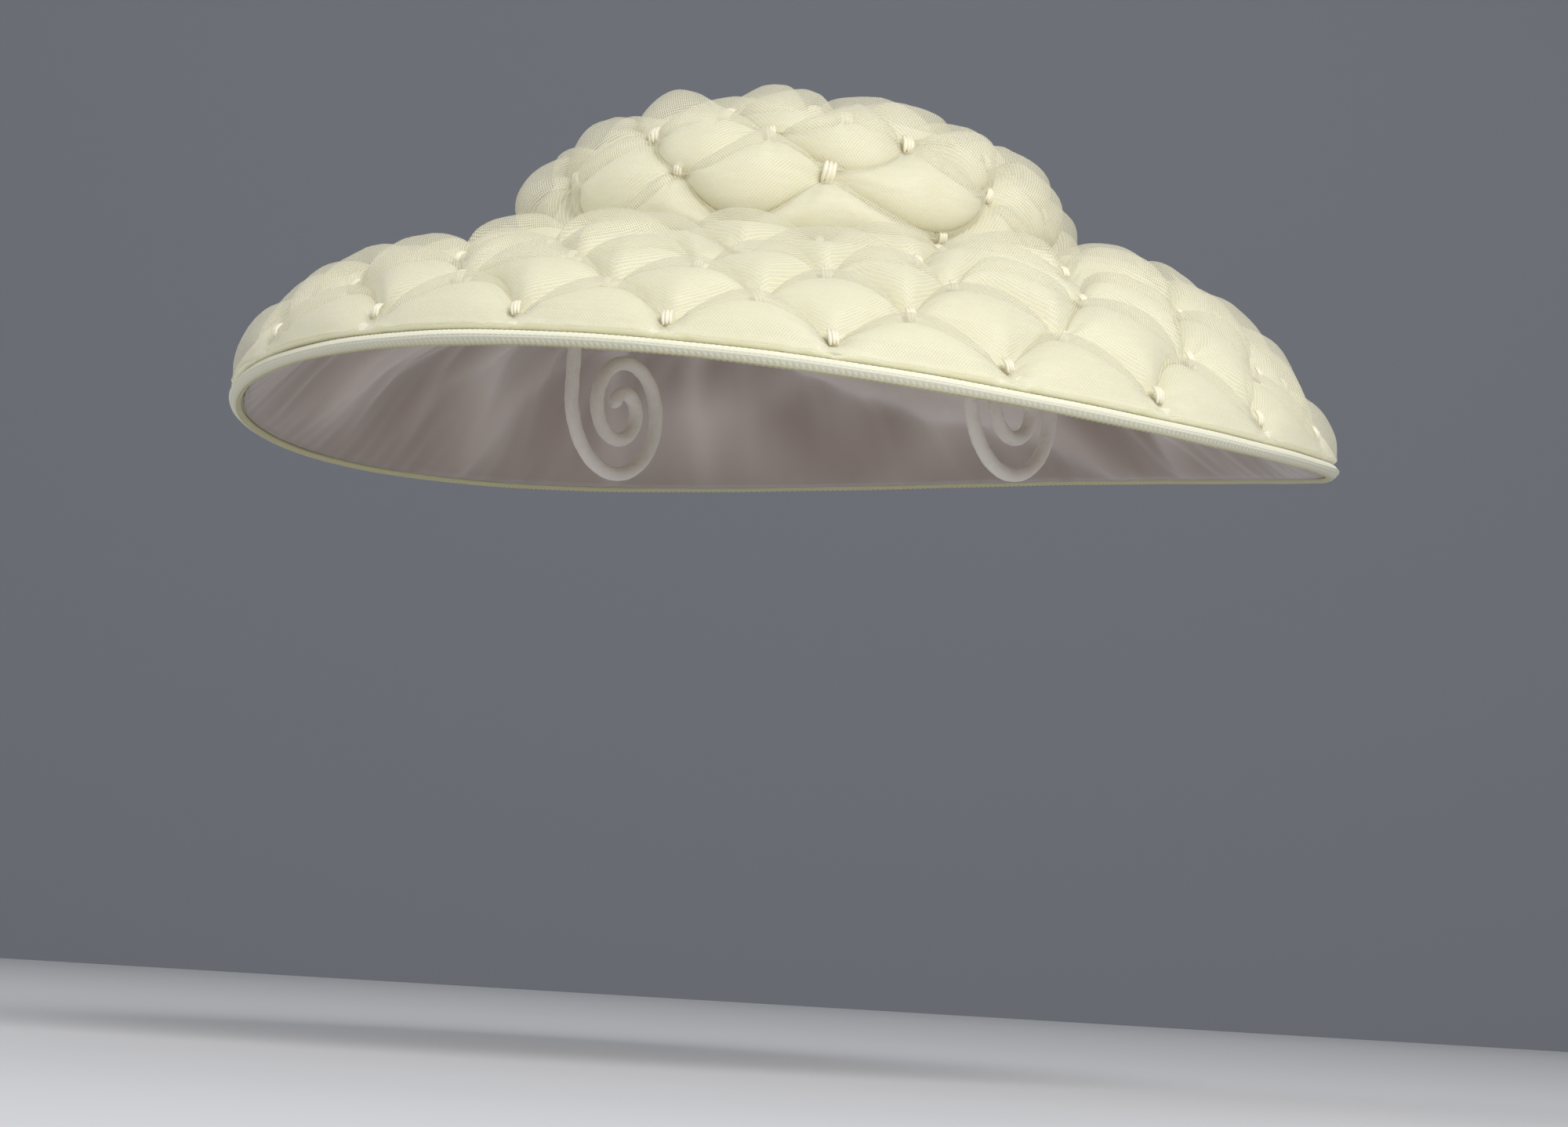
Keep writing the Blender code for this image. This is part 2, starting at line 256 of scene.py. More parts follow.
def brim_surface(angle, out):
    """The top of the brim foundation."""
    drop = BRIM_DROP + SIDE_DROOP * (1 - np.cos(2 * angle)) / 2
    middle = read_warp(angle, 1) * np.sin(np.pi * out)
    outer = read_warp(angle, 2) * out**3 * (1 - out) / (WARP_PEAK**3 * (1 - WARP_PEAK))
    width = BRIM_WIDTH + BRIM_WARP * read_warp(angle, 3)
    height = BRIM_WARP * (middle + outer) - drop * read_curve(BRIM_PROFILE, out)
    return around(angle, BRIM_INNER + width * out, height)


def crown_surface(angle, up):
    """The outside of the crown foundation."""
    turn = up * np.pi / 2
    power = 2 / CROWN_SQUARENESS
    radius = (OPENING_RADIUS + FORM_WALL) * np.maximum(np.cos(turn), 1e-9) ** power
    return around(angle, radius, CROWN_HEIGHT * np.maximum(np.sin(turn), 0) ** power)


SLOPE_STEP = 0.002  # in shares and in radians
POLE_SHARE = 0.9999


def lifted(surface, angle, share, height):
    """Points that stand off a surface along its normal."""
    share = np.clip(share, 0.0, 1.0)
    low = np.clip(share - SLOPE_STEP, 0, 1)
    high = np.clip(share + SLOPE_STEP, 0, 1)
    along = surface(angle, high) - surface(angle, low)
    side = surface(angle + SLOPE_STEP, share) - surface(angle - SLOPE_STEP, share)
    flat = np.linalg.norm(side, axis=-1) < 1e-7
    side[flat] = around(angle + np.pi / 2, 1.0, 0.0)[flat]
    normal = np.cross(side, along)
    normal /= np.maximum(np.linalg.norm(normal, axis=-1, keepdims=True), 1e-12)
    if surface is brim_surface:
        normal = -normal
    else:
        normal[share > POLE_SHARE] = (0.0, 0.0, 1.0)
    return surface(angle, share) + normal * np.asarray(height)[..., None]


def way_table(surface, count=401):
    """Shares of a surface's way and the lengths at which they lie, at the front."""
    shares = np.linspace(0, 1, count)
    points = surface(np.zeros(count), shares)
    steps = np.linalg.norm(np.diff(points, axis=0), axis=1)
    return shares, np.concatenate([[0], np.cumsum(steps)])


WAYS = {brim_surface: way_table(brim_surface), crown_surface: way_table(crown_surface)}


def fresh(obj, name):
    """Names a new piece and leaves it with no old materials."""
    obj.name = name
    obj.data.name = name
    obj.data.materials.clear()
    return obj


def deselect():
    bpy.ops.object.select_all(action="DESELECT")


def set_points(obj, points):
    obj.data.vertices.foreach_set("co", np.asarray(points, np.float32).ravel())
    obj.data.update()


def get_points(obj):
    flat = np.empty(len(obj.data.vertices) * 3, np.float32)
    obj.data.vertices.foreach_get("co", flat)
    return flat.reshape(-1, 3).astype(float)


def edit(obj, *steps):
    """Runs edit-mode operators on all of a piece."""
    deselect()
    bpy.context.view_layer.objects.active = obj
    obj.select_set(True)
    bpy.ops.object.mode_set(mode="EDIT")
    bpy.ops.mesh.select_all(action="SELECT")
    for step in steps:
        step()
    bpy.ops.object.mode_set(mode="OBJECT")


def apply_modifier(obj, kind, **settings):
    """Adds a modifier and applies it."""
    deselect()
    bpy.context.view_layer.objects.active = obj
    obj.select_set(True)
    added = obj.modifiers.new(kind.title(), kind)
    for key, value in settings.items():
        setattr(added, key, value)
    bpy.ops.object.modifier_apply(modifier=added.name)


def lay_cloth_map(obj, across, along, wrap=None):
    """A UV map in metres of cloth. Faces that cross the seam are laid past it."""
    mesh = obj.data
    uv = mesh.uv_layers.get("Cloth") or mesh.uv_layers.new(name="Cloth")
    corners = np.empty(len(mesh.loops), np.int32)
    mesh.loops.foreach_get("vertex_index", corners)
    u = across[corners]
    v = along[corners]
    starts = np.empty(len(mesh.polygons), np.int32)
    totals = np.empty(len(mesh.polygons), np.int32)
    mesh.polygons.foreach_get("loop_start", starts)
    mesh.polygons.foreach_get("loop_total", totals)
    if wrap:
        face = np.repeat(np.arange(len(starts)), totals)
        high = np.maximum.reduceat(u, starts)[face]
        u = np.where(high - u > wrap / 2, u + wrap, u)
    uv.data.foreach_set("uv", np.stack([u, v], -1).astype(np.float32).ravel())
    mesh.uv_layers.active = uv


def lay_value(obj, name, values):
    """A number on each point that the finish reads."""
    layer = obj.data.attributes.new(name, "FLOAT", "POINT")
    layer.data.foreach_set("value", np.asarray(values, np.float32))


def ring_grid(name, around_count, along_count):
    """A flat grid to be wrapped round the hat. Returns the piece, and each point's two shares."""
    deselect()
    bpy.ops.mesh.primitive_grid_add(
        x_subdivisions=around_count, y_subdivisions=along_count, size=2
    )
    obj = fresh(bpy.context.object, name)
    flat = get_points(obj)
    return obj, (flat[:, 0] + 1) / 2, (flat[:, 1] + 1) / 2


WELD = 0.000001


def close_seam(obj):
    """Merges the points that lie on each other, at the seam and at the pole."""
    edit(obj, lambda: bpy.ops.mesh.remove_doubles(threshold=WELD))


def face_outwards(obj):
    edit(obj, lambda: bpy.ops.mesh.normals_make_consistent(inside=False))


def give_finish(obj, finish):
    """Smooth shading and a material."""
    obj.data.shade_smooth()
    obj.data.materials.append(finish)


# Rows of puffs


class Row:
    """One row of puffs on the brim or the crown, with what differs from puff to puff."""

    def __init__(self, index, on_brim):
        self.place = "brim" if on_brim else "crown"
        self.rows = BRIM_ROWS if on_brim else CROWN_ROWS
        self.index = index
        self.name, _, self.puffs, self.phase, _ = self.rows[index]
        self.surface = brim_surface if on_brim else crown_surface
        self.start = COVER_START if on_brim else CROWN_START
        self.way = WAYS[self.surface][1][-1] - (COVER_END if on_brim else 0.0)
        self.is_cap = not on_brim and index == len(self.rows) - 1
        own = np.random.default_rng(100 * (2 if on_brim else 1) + index)
        self.size = own.uniform(*PUFF_SIZES, self.puffs)
        self.lean = own.uniform(-PUFF_LEAN, PUFF_LEAN, self.puffs)
        self.reach = own.uniform(*PUFF_REACHES, self.puffs)
        self.folds = own.integers(*FOLD_COUNTS, self.puffs)
        self.fold_turn = own.uniform(0, ANY_TURN, self.puffs)
        self.sway = own.uniform(0, ANY_TURN, len(SWAY_WAVES))

    def turns(self, angle):
        """How many puffs round the hat an angle lies: whole at the middle of a puff."""
        sway = sum(
            SWAY * np.sin(k * angle + turn) for k, turn in zip(SWAY_WAVES, self.sway)
        )
        return self.puffs * angle / (2 * np.pi) - self.phase + sway

    def across(self, angle):
        """0 where two puffs meet, 1 at the middle of a puff."""
        return np.abs(np.cos(np.pi * self.turns(angle)))

    def number(self, angle):
        """Which puff of the row an angle falls in."""
        return np.round(self.turns(angle)).astype(int) % self.puffs

    def lapped_edge(self, angle):
        """The scalloped edge where this row laps over the row before it."""
        _, end, _, _, scallop = self.rows[self.index - 1]
        middle = self.start + (self.way - self.start) * end
        hang = SCALLOP * scallop
        return middle + hang - hang * 2 * self.across(angle) * self.reach[self.number(angle)]

    def tacks(self):
        """Angles at which two puffs of this row meet."""
        fine = np.linspace(0, 2 * np.pi, FINE_ANGLES)
        turns = self.turns(fine)
        wanted = np.arange(math.ceil(turns[0] - 0.5), math.floor(turns[-1] - 0.5) + 1) + 0.5
        return np.unique(np.round(np.interp(wanted, turns, fine) % (2 * np.pi), 4))


def row_span(row, after, angle):
    """Lengths along the surface to a row's own edge and to the edge of the row after it."""
    foot = np.full_like(angle, DRESSED_START[row.place])
    low = row.lapped_edge(angle) if row.index else foot
    high = after.lapped_edge(angle) if after else np.full_like(angle, row.way)
    return low, high


PUFF_PROFILE = (
    # along, height
    (0.00, 0.58),
    (0.18, 0.90),
    (0.42, 1.00),
    (0.72, 0.82),
    (1.00, 0.34),
)

# The sheer net rounds over more than the padding under it.
NET_PROFILE = (
    # along, height
    (0.00, 0.30),
    (0.20, 0.80),
    (0.47, 1.10),
    (0.78, 0.82),
    (1.00, 0.12),
)

# The opaque padded net, and the sheer outer net that stands off it.
# loft: height of a puff. fullness: of the rows from the head opening outwards or upwards.
# roundness: 1 is an arch with sharp valleys, more is flatter on top.
# edge: how late the height drops at a row's edges. folds: how much of the small folds shows.
Layer = namedtuple("Layer", "loft fullness roundness profile edge folds pole_height")

PADDING = Layer(
    loft={"brim": 0.0058, "crown": 0.0058},
    fullness={"brim": (1.65, 1.20, 1.0, 1.0, 0.95), "crown": (1.0, 1.05, 1.05, 1.0, 0.90)},
    roundness=1.6,
    profile=PUFF_PROFILE,
    edge=9,
    folds=1.0,
    pole_height=0.0030,
)
OUTER_NET = Layer(
    loft={"brim": 0.0108, "crown": 0.0128},
    fullness={"brim": (1.20, 1.05, 1.0, 1.0, 0.95), "crown": (1.0, 1.05, 1.05, 1.0, 0.90)},
    roundness=1.2,
    profile=NET_PROFILE,
    edge=14,
    folds=0.7,
    pole_height=0.0046,
)


def tack_field(row, after, angle, length, radius):
    """Small folds that run into the nearest tacks, and how close the nearest one is."""
    folds = 0 * angle
    near = np.full_like(angle, 1.0)
    for each in (row, after):
        if each is None:
            continue
        turns = each.turns(angle)
        to_tack = (turns - np.floor(turns) - 0.5) * 2 * np.pi / each.puffs * radius
        seat = row_span(each, None, angle - to_tack / np.maximum(radius, 0.001))[0]
        if not each.index:
            seat = seat + FIRST_TACK_RISE
        climb = length - seat
        distance = np.hypot(to_tack, climb)
        spin = np.arctan2(climb, to_tack)
        number = np.floor(turns).astype(int) % each.puffs
        wave = np.cos(each.folds[number] * spin + each.fold_turn[number])
        finer = (each.folds[number] + FINER_FOLDS) * spin - each.fold_turn[number]
        wave += 0.5 * np.cos(finer)
        reach = PUCKER_REACH * (0.7 + 0.6 * each.size[number])
        fade = np.exp(-distance / reach) * np.clip(distance / PUCKER_START, 0, 1)
        folds += PUCKER * wave * fade
        near = np.minimum(near, distance)
    return folds, near


def row_radius(row, low):
    """The radius at which a row starts, at the front."""
    share = np.interp(low.mean(), WAYS[row.surface][1], WAYS[row.surface][0])
    return float(np.linalg.norm(row.surface(np.zeros(1), np.full(1, share))[0, :2]))


def row_heights(row, after, angle, along, length, layer):
    """Height of a layer above the foundation, how close the nearest tack is, and the share of
    the surface's way."""
    share = np.interp(length, WAYS[row.surface][1], WAYS[row.surface][0])
    radius = np.linalg.norm(row.surface(angle, share)[:, :2], axis=1)
    across = row.across(angle)
    number = row.number(angle)
    turns = row.turns(angle)
    full = 1 - (1 - across) ** layer.roundness
    loft = layer.loft[row.place] * layer.fullness[row.place][row.index]
    lean = 1 + row.lean[number] * (turns - np.round(turns))
    rounded = (1 - np.abs(2 * along - 1) ** layer.edge) ** EDGE_ROUNDING
    if row.is_cap:
        rounded = np.where(along > 0.5, 1.0, rounded)
    body = read_curve(layer.profile, along) * rounded
    height = PINCH + (loft * row.size[number] * lean - PINCH) * full * body
    folds, near = tack_field(row, after, angle, length, radius)
    height = height + layer.folds * folds * np.clip(height / PINCH, 0, 1)
    height *= 1 - TACK_DEPTH * np.exp(-((near / TACK_PULL) ** 2))
    height = np.maximum(height, THINNEST)
    if row.is_cap:
        way = np.clip((along - CAP_EASING) / (1 - CAP_EASING), 0, 1)
        eased = way * way * (3 - 2 * way)
        height = height * (1 - eased) + layer.pole_height * eased
    return height, near, share


def dress_row(row, after, finish):
    """The padded row, a closed ring of puffs that stands for one row of the frame."""
    steps = row.puffs * (FILL_STEPS[row.place] // row.puffs)
    obj, a_share, b_share = ring_grid(row.name + "_fill", steps, FILL_BANDS)
    angle = a_share * 2 * np.pi
    turn = b_share * 2 * np.pi
    low, high = row_span(row, after, angle)
    along = (1 - np.cos(turn)) / 2
    length = low + (high - low) * along
    top, near, share = row_heights(row, after, angle, along, length, PADDING)
    height = SOFT_GAP + np.where((turn <= np.pi) & (b_share > 0), top, 0.0)
    set_points(obj, lifted(row.surface, angle, share, height))
    edge = np.minimum(length - low, high - length)
    # Painted shade along the puffs' edges and round the tacks, laid on each point
    crease = EDGE_SHADE * np.exp(-edge / EDGE_FADE) + np.exp(-((near / FILL_TACK_FADE) ** 2))
    lay_value(obj, "crease", np.clip(crease, 0, 1))
    lay_cloth_map(obj, angle * row_radius(row, low), length)
    close_seam(obj)
    face_outwards(obj)
    give_finish(obj, finish)
    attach(obj, "root")
    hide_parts(row.name)


def dress_net(row, after, finish):
    """The sheer net that stands off one padded row and laps over the row before it."""
    steps = row.puffs * (NET_STEPS[row.place] // row.puffs)
    obj, a_share, b_share = ring_grid(row.name + "_net", steps, NET_BANDS)
    angle = a_share * 2 * np.pi
    low, high = row_span(row, after, angle)
    full = 1 - (1 - row.across(angle)) ** OUTER_NET.roundness
    lap = LAP * full if row.index else 0.0
    along = (1 - np.cos(np.pi * b_share)) / 2
    length = low - lap + (high - low + lap) * along
    place = np.clip((length - low) / (high - low), 0, 1)
    fill, _, _ = row_heights(row, after, angle, place, length, PADDING)
    net, near, share = row_heights(row, after, angle, along, length, OUTER_NET)
    under = np.where(length < low, LAPPED_HEIGHT * PADDING.loft[row.place] * full, fill)
    height = SOFT_GAP + np.maximum(net, under + THINNEST)
    set_points(obj, lifted(row.surface, angle, share, height))
    # Painted shade round the tacks
    lay_value(obj, "crease", np.clip(np.exp(-((near / NET_TACK_FADE) ** 2)), 0, 1))
    radius = row_radius(row, low)
    lay_cloth_map(obj, angle * radius, length)
    close_seam(obj)
    if row.place == "brim":
        edit(obj, bpy.ops.mesh.flip_normals)
    give_finish(obj, finish)
    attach(obj, "root")


TACK_HEIGHT = 0.0042
TACK_LENGTH = 0.0048
STRAND_RADIUS = 0.00062
STRAND_SIDES = 6
STRAND_BOW = 0.0009
STRAND_TIP = 0.45  # thickness at its ends, as a share
STRAND_CUTS = 3
STRAND_SHIFTS = (-0.00088, 0.0, 0.00088)
MIDDLE_STRAND_RISE = 0.0002
TACK_SCALE = {"brim": 1.0, "crown": 1.25}
TACK_TIP = {"brim": -0.0006, "crown": 0.0006}  # how much higher the far end of a tack is
TACK_SKEW = 0.22
TACK_SIZES = (0.85, 1.25)
LOOK_AHEAD = 0.01  # share along the surface, and metres above it, that give a tack its way


def join(pieces, name):
    """Joins pieces into one."""
    deselect()
    for piece in pieces:
        piece.select_set(True)
    bpy.context.view_layer.objects.active = pieces[0]
    bpy.ops.object.join()
    return fresh(bpy.context.object, name)


def copied(model, points):
    """A copy of a piece with its own mesh, its points laid elsewhere."""
    copy = model.copy()
    copy.data = model.data.copy()
    bpy.context.collection.objects.link(copy)
    set_points(copy, points)
    return copy


def tack_model():
    """One satin tack: three bowed strands side by side over the pinch."""
    deselect()
    bpy.ops.mesh.primitive_cylinder_add(
        vertices=STRAND_SIDES, radius=STRAND_RADIUS, depth=TACK_LENGTH, end_fill_type="NGON"
    )
    strand = fresh(bpy.context.object, "tack_strand")
    edit(
        strand,
        lambda: bpy.ops.mesh.select_all(action="DESELECT"),
        lambda: bpy.ops.mesh.select_mode(type="EDGE"),
    )
    for side in strand.data.edges:
        ends = [strand.data.vertices[k].co.z for k in side.vertices]
        side.select = ends[0] * ends[1] < 0
    bpy.ops.object.mode_set(mode="EDIT")
    bpy.ops.mesh.subdivide_edgering(number_cuts=STRAND_CUTS, smoothness=0.0)
    bpy.ops.mesh.select_mode(type="VERT")
    bpy.ops.object.mode_set(mode="OBJECT")
    points = get_points(strand)
    bend = 1 - (points[:, 2] / (TACK_LENGTH / 2)) ** 2
    squeeze = STRAND_TIP + (1 - STRAND_TIP) * np.sqrt(np.clip(bend, 0, 1))
    bowed = np.stack(
        [points[:, 0] * squeeze, points[:, 2], points[:, 1] * squeeze + STRAND_BOW * bend], -1
    )
    strands = []
    for shift in STRAND_SHIFTS:
        rise = MIDDLE_STRAND_RISE * (shift == 0)
        strands.append(copied(strand, bowed + np.array([shift, 0.0, rise])))
    bpy.data.objects.remove(strand)
    return join(strands, "tack")


def tack_axes(surface, angle, share, tip):
    """Where a tack sits, its way along the surface, and the direction away from it."""
    stand = SOFT_GAP + TACK_HEIGHT
    seat = lifted(surface, angle, share, np.array([stand]))[0]
    ahead = lifted(surface, angle, share + LOOK_AHEAD, np.array([stand + tip]))[0]
    above = lifted(surface, angle, share, np.array([LOOK_AHEAD]))[0]
    along = ahead - seat
    along /= np.linalg.norm(along)
    normal = above - seat
    normal -= along * normal.dot(along)
    normal /= np.linalg.norm(normal)
    return seat, along, normal


def dress_tacks(rows, name, finish):
    """A satin tack over every pinch, laid along the way of the surface."""
    model = tack_model()
    shape = get_points(model)
    tacks = []
    place = rows[0].place
    for row, after in zip(rows, rows[1:] + [None]):
        shares, lengths = WAYS[row.surface]
        for tack in row.tacks():
            angle = np.array([tack])
            low = row_span(row, after, angle)[0]
            length = low + (TACK_RISE if row.index else FIRST_TACK_RISE)
            share = np.interp(length, lengths, shares)
            seat, along, normal = tack_axes(row.surface, angle, share, TACK_TIP[place])
            skew = chance.normal(0, TACK_SKEW)
            side = np.cross(along, normal)
            along = along * math.cos(skew) + side * math.sin(skew)
            side = np.cross(along, normal)
            size = TACK_SCALE[place] * chance.uniform(*TACK_SIZES)
            tacks.append(copied(model, seat + size * shape @ np.stack([side, along, normal])))
    bpy.data.objects.remove(model)
    obj = join(tacks, name)
    face_outwards(obj)
    give_finish(obj, finish)
    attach(obj, "root")


# Binding, lining, foundation and grips

BINDING_HEIGHT = 0.0068
BINDING_DEPTH = 0.0032
BRAID_STITCH = 0.0019
BRAID_ROWS = 11
POINTS_PER_STITCH = 3
BINDING_LIP = 0.0022  # how far its upper edge reaches inwards over the padding
STITCH_RELIEF = 0.00046
STITCH_SINK = 0.00025
BINDING_CLEAR = 0.0001
BINDING_REACH = 0.80  # shares of its depth and height
BINDING_RISE = 0.30
BINDING_SINK = 0.06
SQUARE_OUT = 0.55  # 1 is round, less is squarer
SQUARE_UP = 0.75


def rim_axes(angle):
    """The brim's edge, and its outward and upward directions there."""
    one = np.ones_like(angle)
    edge = lifted(brim_surface, angle, one, 0 * one)
    normal = lifted(brim_surface, angle, one, one) - edge
    inner = brim_surface(angle, 0.99 * one)
    outwards = edge - inner
    outwards -= normal * (outwards * normal).sum(-1, keepdims=True)
    outwards /= np.linalg.norm(outwards, axis=-1, keepdims=True)
    return edge, outwards, normal


def dress_binding(finish):
    """The knitted band round the rim, with its rows of stitches raised from it."""
    count = round(2 * math.pi * RIM_RADIUS / BRAID_STITCH)
    obj, a_share, b_share = ring_grid("binding_braid", count * POINTS_PER_STITCH, BRAID_BANDS)
    angle = a_share * 2 * np.pi
    turn = b_share * 2 * np.pi
    edge, outwards, normal = rim_axes(angle)
    spread_out = -np.cos(turn)
    spread_up = np.sin(turn)
    square_out = np.sign(spread_out) * np.abs(spread_out) ** SQUARE_OUT
    square_up = np.sign(spread_up) * np.abs(spread_up) ** SQUARE_UP
    uneven = 1 + 0.05 * np.sin(9 * angle + 1.0) + 0.04 * np.sin(23 * angle)
    depth = BINDING_REACH * BINDING_DEPTH * (0.5 + 0.5 * square_out)
    lip = BINDING_LIP * np.clip(spread_up, 0, 1) * np.clip(-spread_out, 0, 1)
    height = BINDING_HEIGHT * (BINDING_RISE * square_up * uneven - BINDING_SINK)
    across = turn / (2 * np.pi) * BRAID_ROWS
    slant = np.where(np.floor(across) % 2 == 0, 1.0, -1.0) * (across % 1 - 0.5)
    knit = np.abs(np.sin(np.pi * (a_share * count + 0.6 * slant)))
    rib = np.abs(np.sin(np.pi * across))
    raised = STITCH_RELIEF * (knit * rib) ** 0.6 - STITCH_SINK
    reach = BINDING_CLEAR + depth - lip + raised * np.clip(spread_out + 0.4, 0, 1)
    climb = height + raised * spread_up
    set_points(obj, edge + outwards * reach[:, None] + normal * climb[:, None])
    # Painted shade between the raised stitches
    lay_value(obj, "crease", (1 - knit * rib) * np.clip(spread_out + 0.5, 0, 1))
    # Painted shade on the binding's underside, strongest at its bottom
    lay_value(obj, "under", np.clip(0.15 - 1.2 * spread_up, 0, 1))
    close_seam(obj)
    points = get_points(obj)
    seat = np.arctan2(points[:, 0], -points[:, 1]) % (2 * np.pi)
    lay_cloth_map(obj, seat * RIM_RADIUS, points[:, 2], wrap=2 * np.pi * RIM_RADIUS)
    face_outwards(obj)
    give_finish(obj, finish)
    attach(obj, "root")
    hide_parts("rim_binding")


BROAD_FOLD = 0.0060
FINE_GATHER = 0.0007
LINING_START = 0.012  # shares of the brim's width
LINING_WIDTH = 0.986
LINING_CLEAR = 0.0003
LINING_RIM_CLEAR = 0.0006
SEAT_EASING = 0.05  # share of the width over which the lining comes in to the rim
GATHER_EASING = 0.1
LINING_THICKNESS = 0.0005
CLOTH_AROUND = 0.13  # metres of cloth for each radian, and for the brim's whole width
CLOTH_OUT = 0.12

BROAD_FOLDS = (
    # count, drift from the opening to the rim, sharpness, share
    (7, 2.3, 3.0, 1.0),
    (11, -1.7, 4.0, 0.9),
    (17, 1.4, 5.0, 0.7),
    (29, -0.8, 3.0, 0.25),
    (41, 2.6, 6.0, 0.35),
)

FINE_GATHERS = (
    # count, edge, reach
    (67, 0.0, 0.30),
    (101, 0.0, 0.16),
    (127, 1.0, 0.14),
    (89, 1.0, 0.22),
)


def dress_lining(finish):
    """Gathered silk under the brim: fine gathers at both edges and slack folds between them."""
    obj, a_share, b_share = ring_grid("lining_silk", LINING_STEPS, LINING_BANDS)
    angle = a_share * 2 * np.pi
    out = LINING_START + LINING_WIDTH * b_share
    slack = np.sin(np.pi * np.clip(b_share, 0.0, 1.0)) ** 0.7
    fold = np.zeros_like(angle)
    for count, drift, sharpness, size in BROAD_FOLDS:
        turns = chance.uniform(0, ANY_TURN, 3)
        wander = 1.3 * np.sin(3 * angle + turns[0]) + 0.9 * np.sin(8 * angle + turns[1])
        wander += 0.7 * np.sin(4 * angle + 5 * b_share + turns[1])
        wave = np.cos(count * angle + turns[2] + drift * np.pi * b_share + wander)
        strength = 0.6 + 0.4 * np.sin(2 * angle + turns[1])
        fold += size * strength * (0.5 + 0.5 * wave) ** sharpness
    fine = np.zeros_like(angle)
    for count, where, reach in FINE_GATHERS:
        turn = chance.uniform(0, ANY_TURN)
        uneven = 0.6 + 0.4 * np.sin(5 * angle + turn)
        fine += uneven * np.cos(count * angle + turn) * np.exp(-np.abs(b_share - where) / reach)
    seat = LINING_CLEAR + LINING_RIM_CLEAR * np.clip((1 - b_share) / SEAT_EASING, 0, 1)
    fine *= 0.4 + 0.6 * np.clip((1 - b_share) / GATHER_EASING, 0, 1)
    depth = FORM_WALL + seat + BROAD_FOLD * fold * slack + FINE_GATHER * (fine + 1) * 0.5
    set_points(obj, lifted(brim_surface, angle, out, -depth))
    # Painted shade where the silk lies up against the brim, between its folds and at its edges
    lay_value(obj, "crease", np.clip(1 - fold * slack, 0, 1))
    lay_cloth_map(obj, angle * CLOTH_AROUND, out * CLOTH_OUT)
    close_seam(obj)
    give_finish(obj, finish)
    apply_modifier(obj, "SOLIDIFY", thickness=LINING_THICKNESS, offset=0)
    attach(obj, "root")
    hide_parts("brim_lining")


BUCKRAM_AROUND = 0.08  # metres of net for each radian

FORMS = (
    # node, surface, points round it, points from edge to edge
    ("crown_form", crown_surface, 160, 48),
    ("brim_form", brim_surface, 240, 40),
)


def dress_foundation(finish):
    """The stiffened net of crown and brim, smooth where the frame's is faceted."""
    for name, surface, steps, bands in FORMS:
        obj, a_share, b_share = ring_grid(name.replace("form", "foundation"), steps, bands)
        angle = a_share * 2 * np.pi
        set_points(obj, surface(angle, b_share))
        lay_cloth_map(obj, angle * BUCKRAM_AROUND, b_share * WAYS[surface][1][-1])
        close_seam(obj)
        face_outwards(obj)
        up = np.array([p.normal.z for p in obj.data.polygons]).mean()
        if up < 0:
            edit(obj, bpy.ops.mesh.flip_normals)
        give_finish(obj, finish)
        apply_modifier(obj, "SOLIDIFY", thickness=FORM_WALL, offset=-1)
        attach(obj, "root")
        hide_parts(name)


GRIP_WIRE = 0.0048
GRIP_DROP = 0.039
GRIP_SPIRAL = 0.027
GRIP_CORE = 0.003
GRIP_TURNS = 2.0
GRIP_FOOT = 0.014
GRIP_CLEAR = 0.0003
LEG_POINTS = 40
SPIRAL_POINTS = 260

GRIPS = (
    # node, side, place of the leg along Y
    ("grip_left", 1, -0.006),
    ("grip_right", -1, -0.026),
)

NAP = (
    # height, waves a metre, turns round the wire
    (0.00005, 700, 2),
    (0.00004, 1500, -3),
)


def grip_route(leg_y):
    """The middle of the wire: foot, leg and spiral."""
    reach = OPENING_RADIUS * math.cos(math.pi / CROWN_FACETS) - GRIP_WIRE / 2 - GRIP_CLEAR
    x = math.sqrt(reach**2 - leg_y**2)
    first = crown_surface(np.array([np.pi / 2]), np.array([1 / CROWN_BANDS]))[0]
    lean = (OPENING_RADIUS + FORM_WALL - first[0]) / first[2]
    leg = np.linspace(GRIP_FOOT, -GRIP_DROP * 0.9, LEG_POINTS)
    rows = [(x - 1.1 * lean * max(z, 0), leg_y, z) for z in leg]
    k = np.arange(SPIRAL_POINTS + 1) / SPIRAL_POINTS
    turn = 2 * np.pi * GRIP_TURNS * k
    radius = GRIP_SPIRAL + (GRIP_CORE - GRIP_SPIRAL) * k**0.8
    y = leg_y + GRIP_SPIRAL - radius * np.cos(turn)
    z = -GRIP_DROP - radius * np.sin(turn)
    rows += [(x, *place) for place in zip(y, z)]
    return np.array(rows)


